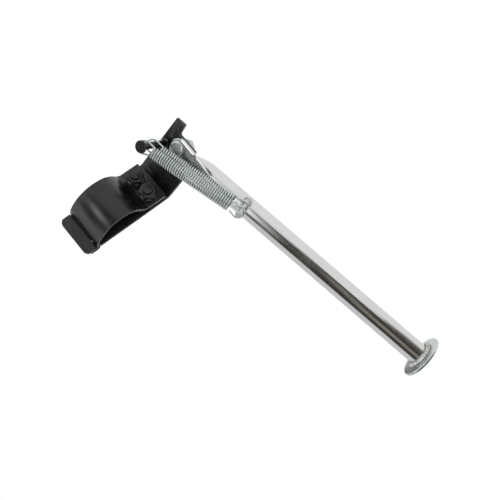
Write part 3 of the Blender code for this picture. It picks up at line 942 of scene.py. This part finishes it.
@dataclass
class Spring:
    """One extension spring between the post and the leg's pin.

    Attributes:
        shop: Maker of the pieces.
        name: Name of the spring's node and body.
        joint: Name of the joint that turns it; not used.
        post: Where its line meets the post's axis.
        pin: Where its line meets the pin's axis.
        normal: Direction of the post and of the joint's axis.
        lowered: Length of its flat line with the leg lowered.
        wire: Radius of the wire.
        coil: Radius of the coils, to the wire's middle.
        pitch: Distance between coils.
        hook: Distance from a loop's centre to the coils.
        post_loop: Free radius of the loop round the post.
        pin_loop: Free radius of the loop round the pin.
        post_radius: Radius of the post.
        pin_radius: Radius of the pin.
        tail: How far each loop's free end stops before the coils.
        neck: How far from the coils the wire leaves for a loop.
        lift: How far it stands over the coils there.
        lean: How far it leans to the loop's plane there.
        curl_points: Points of a coil.
        loop_points: Points of a loop's half turn.
    """

    shop: Workshop
    name: str
    joint: str
    post: Vector
    pin: Vector
    normal: Vector
    lowered: float
    wire: float = 0.75 * MM
    coil: float = 4.5 * MM
    pitch: float = 2.05 * MM
    hook: float = 7.6 * MM
    post_loop: float = 5.2 * MM
    pin_loop: float = 4.9 * MM
    post_radius: float = 3.0 * MM
    pin_radius: float = 2.0 * MM
    tail: float = 1.8 * MM
    neck: float = 1.5 * MM
    lift: float = 0.1 * MM
    lean: float = 0.2 * MM
    curl_points: int = 22
    loop_points: int = 24

    def path(self, length: float) -> list[Vector]:
        """Middle of the wire, along local X, between the centres of its two loops.

        Args:
            length: Distance between those centres.

        Returns:
            The wire's points.
        """
        end = length - self.hook
        curls = int((end - self.hook) / self.pitch)
        pitch = (end - self.hook) / curls
        tail_side = -0.8 * self.coil
        neck_side = self.coil + self.lift
        points = [Vector((self.hook - self.tail, tail_side, 0))]
        points += self.loop(0.0, self.post_loop + self.wire, -math.pi / 2)
        points.append(Vector((self.hook - self.neck, neck_side, -self.lean)))
        for step in range(curls * self.curl_points + 1):
            angle = 2 * math.pi * step / self.curl_points
            along = self.hook + pitch * step / self.curl_points
            points.append(Vector((along, self.coil * math.cos(angle), self.coil * math.sin(angle))))
        points.append(Vector((end + self.neck, neck_side, self.lean)))
        points += self.loop(length, self.pin_loop + self.wire, math.pi / 2)
        points.append(Vector((end + self.tail, tail_side, 0)))
        return points

    def loop(self, centre: float, radius: float, start: float) -> list[Vector]:
        """Half turn of a hook, on its outer side.

        Args:
            centre: Place of its middle along local X.
            radius: Radius of the wire's middle.
            start: Angle at which it starts.

        Returns:
            The points of the half turn.
        """
        angles = [start - math.pi * step / self.loop_points for step in range(self.loop_points + 1)]
        return [Vector((centre + radius * math.cos(a), radius * math.sin(a), 0)) for a in angles]

    def build(self) -> None:
        """Make the spring's wire between the post and the pin."""
        run = (self.pin - self.post).normalized()
        start = self.post + run * (self.post_loop - self.post_radius - GAP)
        finish = self.pin - run * (self.pin_loop - self.pin_radius - GAP)
        side = self.normal.cross(run).normalized()
        shape = wire_shape(self.path((finish - start).length), self.wire, 4)
        made = self.shop.piece(self.name + "_wire", shape, Finish.ZINC, self.name, (self.name,),
                               local_frame(run, side, run.cross(side), start), 60.0)
        line = self.pin - self.post
        flat = (line - self.normal * line.dot(self.normal)).normalized()
        post_side = self.post_radius + GAP + self.wire
        pin_side = self.pin_radius + GAP + self.wire
        reach = post_side + pin_side
        keep = (self.lowered + reach) / (flat_length(line, self.normal) + reach)
        anchor = self.post - flat * post_side
        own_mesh(made)


@dataclass
class SpringMounts:
    """Post, pin line and both springs.

    Attributes:
        shop: Maker of the pieces.
        axes: Directions of the part.
        leg_root: Point where the tube's axis passes the pivot.
        pin_along: Distance of the pin from there along the tube.
        pin_side: Distance of the pin from the tube's middle.
        nut_edge: Width of the softened edges of the post's nut.
        swing: Angle of the lowered leg.
        heights: Height of each spring on the post and on the pin.
    """

    shop: Workshop
    axes: Axes
    leg_root: Vector
    pin_along: float = 71.4 * MM
    pin_side: float = 5.6 * MM
    nut_edge: float = 0.25 * MM
    swing: float = math.radians(93.0)
    heights: dict[str, tuple[float, float]] = field(default_factory=lambda: {
        "inner_spring": (20.9 * MM, 15.3 * MM),
        "outer_spring": (31.8 * MM, 26.0 * MM),
    })

    def build(self) -> None:
        """Make the post's finish and both springs."""
        axes = self.axes
        foot = self.leg_root + axes.leg * self.pin_along + axes.across * self.pin_side
        for name, (post_height, pin_height) in self.heights.items():
            post = axes.post + axes.normal * post_height
            pin = foot + axes.leg_up * pin_height
            lowered_pin = axes.pivot + Matrix.Rotation(self.swing, 3, axes.normal) @ (pin - axes.pivot)
            lowered = flat_length(lowered_pin - post, axes.normal)
            Spring(self.shop, name, name + "_swing", post, pin, axes.normal, lowered).build()
        self.shop.dress(("spring_post",), Finish.PAINT)
        self.shop.dress(("spring_post_washer",), Finish.STEEL)
        self.shop.refined("spring_post_nut", Finish.ZINC, "bracket", self.nut_edge)


def flat_length(line: Vector, normal: Vector) -> float:
    """Length of a line seen along a direction.

    Args:
        line: The line.
        normal: The direction, of length 1.

    Returns:
        The length of what is square to the direction.
    """
    return (line - normal * line.dot(normal)).length


# ---------------------------------------------------------------- studio

@dataclass(frozen=True)
class Card:
    """Plain card round the leg's axis that only shows in reflections.

    Attributes:
        name: Its name.
        angles: Where it starts and ends round the leg, in degrees from the camera.
        reach: Where it starts and ends along the leg, from the camera's target.
        shade: Its colour.
        distance: Its distance from the leg.
    """

    name: str
    angles: tuple[float, float]
    reach: tuple[float, float]
    shade: Colour
    distance: float = 1.3


FLOOR_SIDE = 14.0
FLOOR_COLOUR = (0.93, 0.93, 0.93)
CARD_ROUGHNESS = 0.9
MIRROR_SHADE = (0.03, 0.03, 0.03)
FAR = 1.6
DARK = (0.060, 0.054, 0.046)
CARDS = (
    Card("leg_card", (-9.0, 74.0), (0.10, FAR), DARK),
    Card("leg_card_start", (44.0, 74.0), (0.03, 0.11), DARK),
    Card("edge_card", (-24.0, -8.0), (0.20, FAR), (0.20, 0.19, 0.17)),
    Card("edge_card_middle", (-32.0, -8.0), (0.31, FAR), (0.08, 0.07, 0.06), 1.28),
    Card("edge_card_far", (-46.0, -20.0), (0.21, 0.9), (0.14, 0.13, 0.115), 0.34),
    Card("edge_card_foot", (-60.0, -45.0), (0.22, 0.9), (0.42, 0.40, 0.37), 0.30),
    Card("strip_card_start", (-24.0, 38.0), (0.30, 0.40), (0.27, 0.25, 0.22), 1.25),
    Card("strip_card", (12.0, 40.0), (0.39, FAR), (0.31, 0.28, 0.24), 1.25),
    Card("rear_card", (160.0, 200.0), (-1.2, FAR), (0.05, 0.05, 0.055)),
    Card("clamp_card", (-10.0, 60.0), (-1.7, -0.40), (0.010, 0.010, 0.010)),
)


@dataclass
class Studio:
    """Camera, floor, soft lamps and the cards that the chrome mirrors.

    Attributes:
        leg: Direction of the leg, along which the cards stand.
        tongue: Middle of the leg's flat tongue.
        plate_normal: Normal of the pivot plate and of the tongue.
        target: Point that the camera looks at.
        distance: Distance of the camera from it.
        azimuth: Direction of the camera from the target, round Z.
        elevation: Direction of the camera above the horizon.
        roll: Turn of the camera about its own line of sight.
        focal: Focal length in pixels of a picture whose side is picture.
        picture: Side of that picture in pixels.
        sky: Colour of the surroundings.
        sky_strength: Their strength.
        floor_height: Height of the floor, under the lowered leg.
        sun_from: Point from which the daylight shines, from the target.
        sun_strength: Its strength in watts per square metre.
        key_from: Place of the key lamp, from the target.
        key_size: Length of its side.
        key_power: Its power in watts.
        mirror_distance: Distance of the tongue's card from the tongue.
        mirror_side: Length of that card's side.
    """

    leg: Vector
    tongue: Vector
    plate_normal: Vector
    target: Vector = field(default_factory=lambda: Vector((95.81, -11.52, -69.81)) * MM)
    distance: float = 700.0 * MM
    azimuth: float = math.radians(78.21)
    elevation: float = math.radians(16.06)
    roll: float = math.radians(127.27)
    focal: float = 821.1
    picture: float = 500.0
    sky: Colour = (0.96, 0.98, 1.0)
    sky_strength: float = 0.95
    floor_height: float = -0.345
    sun_from: Vector = field(default_factory=lambda: Vector((-0.4, 0.8, 1.2)))
    sun_strength: float = 1.2
    key_from: Vector = field(default_factory=lambda: Vector((-0.5, 0.9, 1.1)))
    key_size: float = 0.35
    key_power: float = 3.0
    mirror_distance: float = 0.8
    mirror_side: float = 0.30

    def toward(self) -> Vector:
        """Direction from the target to the camera."""
        flat = math.cos(self.elevation)
        return Vector((flat * math.cos(self.azimuth), flat * math.sin(self.azimuth),
                       math.sin(self.elevation)))

    def build_camera(self) -> None:
        """Make the camera at the photograph's angle."""
        data = bpy.data.cameras.new("camera")
        data.sensor_width = 36.0
        data.lens = self.focal * data.sensor_width / self.picture
        data.clip_start = 0.01
        camera = bpy.data.objects.new("camera", data)
        bpy.context.scene.collection.objects.link(camera)
        back = self.toward()
        level = (Vector((0, 0, 1)) - back * back.z).normalized()
        side = level.cross(back)
        up = level * math.cos(self.roll) + side * math.sin(self.roll)
        camera.matrix_world = local_frame(up.cross(back), up, back, self.target + back * self.distance)
        bpy.context.scene.camera = camera

    def build_world(self) -> None:
        """Soft pale surroundings, white to the camera."""
        world = bpy.data.worlds.new("studio")
        world.use_nodes = True
        tree = world.node_tree
        tree.nodes.clear()
        light = tree.nodes.new("ShaderNodeBackground")
        light.inputs["Color"].default_value = (*self.sky, 1.0)
        light.inputs["Strength"].default_value = self.sky_strength
        white = tree.nodes.new("ShaderNodeBackground")
        white.inputs["Color"].default_value = (1.0, 1.0, 1.0, 1.0)
        path = tree.nodes.new("ShaderNodeLightPath")
        mix = tree.nodes.new("ShaderNodeMixShader")
        out = tree.nodes.new("ShaderNodeOutputWorld")
        tree.links.new(path.outputs["Is Camera Ray"], mix.inputs[0])
        tree.links.new(light.outputs[0], mix.inputs[1])
        tree.links.new(white.outputs[0], mix.inputs[2])
        tree.links.new(mix.outputs[0], out.inputs[0])
        bpy.context.scene.world = world

    def lamp(self, name: str, place: Vector, aim: Vector, size: float, power: float) -> None:
        """Square soft lamp.

        Args:
            name: Name of the lamp.
            place: Where it stands.
            aim: Point that it looks at.
            size: Length of its side.
            power: Its power in watts.
        """
        data = bpy.data.lights.new(name, "AREA")
        data.shape = "SQUARE"
        data.size = size
        data.energy = power
        self.stand(bpy.data.objects.new(name, data), place, aim)

    def daylight(self, place: Vector, strength: float) -> None:
        """Even light from a wide part of the sky, which keeps the floor white.

        Args:
            place: Point from which it shines on the target.
            strength: Its strength in watts per square metre.
        """
        data = bpy.data.lights.new("daylight", "SUN")
        data.energy = strength
        data.angle = math.radians(100.0)
        data.specular_factor = 0.0
        self.stand(bpy.data.objects.new("daylight", data), place, self.target)

    def stand(self, thing: bpy.types.Object, place: Vector, aim: Vector) -> None:
        """Put a lamp or card at its place, facing a point.

        Args:
            thing: The lamp or card.
            place: Where it stands.
            aim: Point that it faces.
        """
        thing.location = place
        thing.rotation_euler = (place - aim).to_track_quat("Z", "Y").to_euler()
        bpy.context.scene.collection.objects.link(thing)

    def sheet(self, name: str, width: float, height: float, shade: Colour,
              roughness: float) -> bpy.types.Object:
        """Flat stage piece round its own origin.

        Args:
            name: Name of the piece.
            width: Its width.
            height: Its height.
            shade: Its colour.
            roughness: Its roughness.

        Returns:
            The piece, not yet placed.
        """
        shape = bmesh.new()
        bmesh.ops.create_grid(shape, x_segments=1, y_segments=1, size=0.5)
        bmesh.ops.scale(shape, vec=(width, height, 1), verts=shape.verts)
        mesh = bpy.data.meshes.new(name)
        shape.to_mesh(mesh)
        shape.free()
        graph = Graph(name)
        mottle = graph.noise(1.5, 2.0)
        deep = tuple(0.96 * channel for channel in shade)
        mesh.materials.append(graph.surface(Base_Color=graph.blend(mottle, shade, deep),
                                            Roughness=roughness, Specular_IOR_Level=0.0))
        return bpy.data.objects.new(name, mesh)

    def floor(self) -> None:
        """Pale floor under the lowered leg."""
        made = self.sheet("floor", FLOOR_SIDE, FLOOR_SIDE, FLOOR_COLOUR, CARD_ROUGHNESS)
        made.location = (0, 0, self.floor_height)
        bpy.context.scene.collection.objects.link(made)

    def card(self, card: Card) -> None:
        """Put up a card beside the leg.

        Args:
            card: The card.
        """
        middle = math.radians(sum(card.angles) / 2)
        half = math.radians(card.angles[1] - card.angles[0]) / 2
        back = self.toward()
        front = (back - self.leg * back.dot(self.leg)).normalized()
        side = self.leg.cross(front)
        out = front * math.cos(middle) + side * math.sin(middle)
        width = 2 * card.distance * math.tan(half)
        made = self.sheet(card.name, width, card.reach[1] - card.reach[0], card.shade, CARD_ROUGHNESS)
        centre = self.target + out * card.distance + self.leg * (sum(card.reach) / 2)
        made.matrix_world = local_frame(self.leg.cross(out), self.leg, out, centre)
        bpy.context.scene.collection.objects.link(made)
        self.only_mirrored(made)

    def only_mirrored(self, made: bpy.types.Object) -> None:
        """Let a card show in reflections only.

        Args:
            made: The card.
        """
        made.visible_camera = False
        made.visible_shadow = False
        made.visible_diffuse = False

    def mirrored(self, name: str, point: Vector, normal: Vector, size: float, shade: Colour) -> None:
        """Card that a flat face mirrors to the camera.

        Args:
            name: Name of the card.
            point: Middle of the face.
            normal: Its normal.
            size: Length of the card's side.
            shade: Its colour.
        """
        sight = (self.target + self.toward() * self.distance - point).normalized()
        away = normal * (2 * normal.dot(sight)) - sight
        made = self.sheet(name, size, size, shade, CARD_ROUGHNESS)
        self.stand(made, point + away * self.mirror_distance, point)
        self.only_mirrored(made)

    def build(self) -> None:
        """Make the studio."""
        self.build_camera()
        self.build_world()
        self.floor()
        self.daylight(self.target + self.sun_from, self.sun_strength)
        self.lamp("key_lamp", self.target + self.key_from, self.target, self.key_size, self.key_power)
        for card in CARDS:
            self.card(card)
        self.mirrored("tongue_card", self.tongue, self.plate_normal, self.mirror_side, MIRROR_SHADE)
        view = bpy.context.scene.view_settings
        view.view_transform = "Standard"


def main() -> None:
    """Build the kickstand's looks and its studio."""
    logging.basicConfig(level=logging.INFO, format="%(name)s %(message)s")
    axes = read_axes()
    shop = Workshop(Palette())
    Clamp(shop).build()
    Pivot(shop).build()
    leg = Leg(shop, axes)
    leg.build()
    SpringMounts(shop, axes, leg.root).build()
    Studio(axes.leg, leg.root + axes.along * leg.tongue_end / 2, axes.normal).build()


if __name__ == "__main__":
    main()
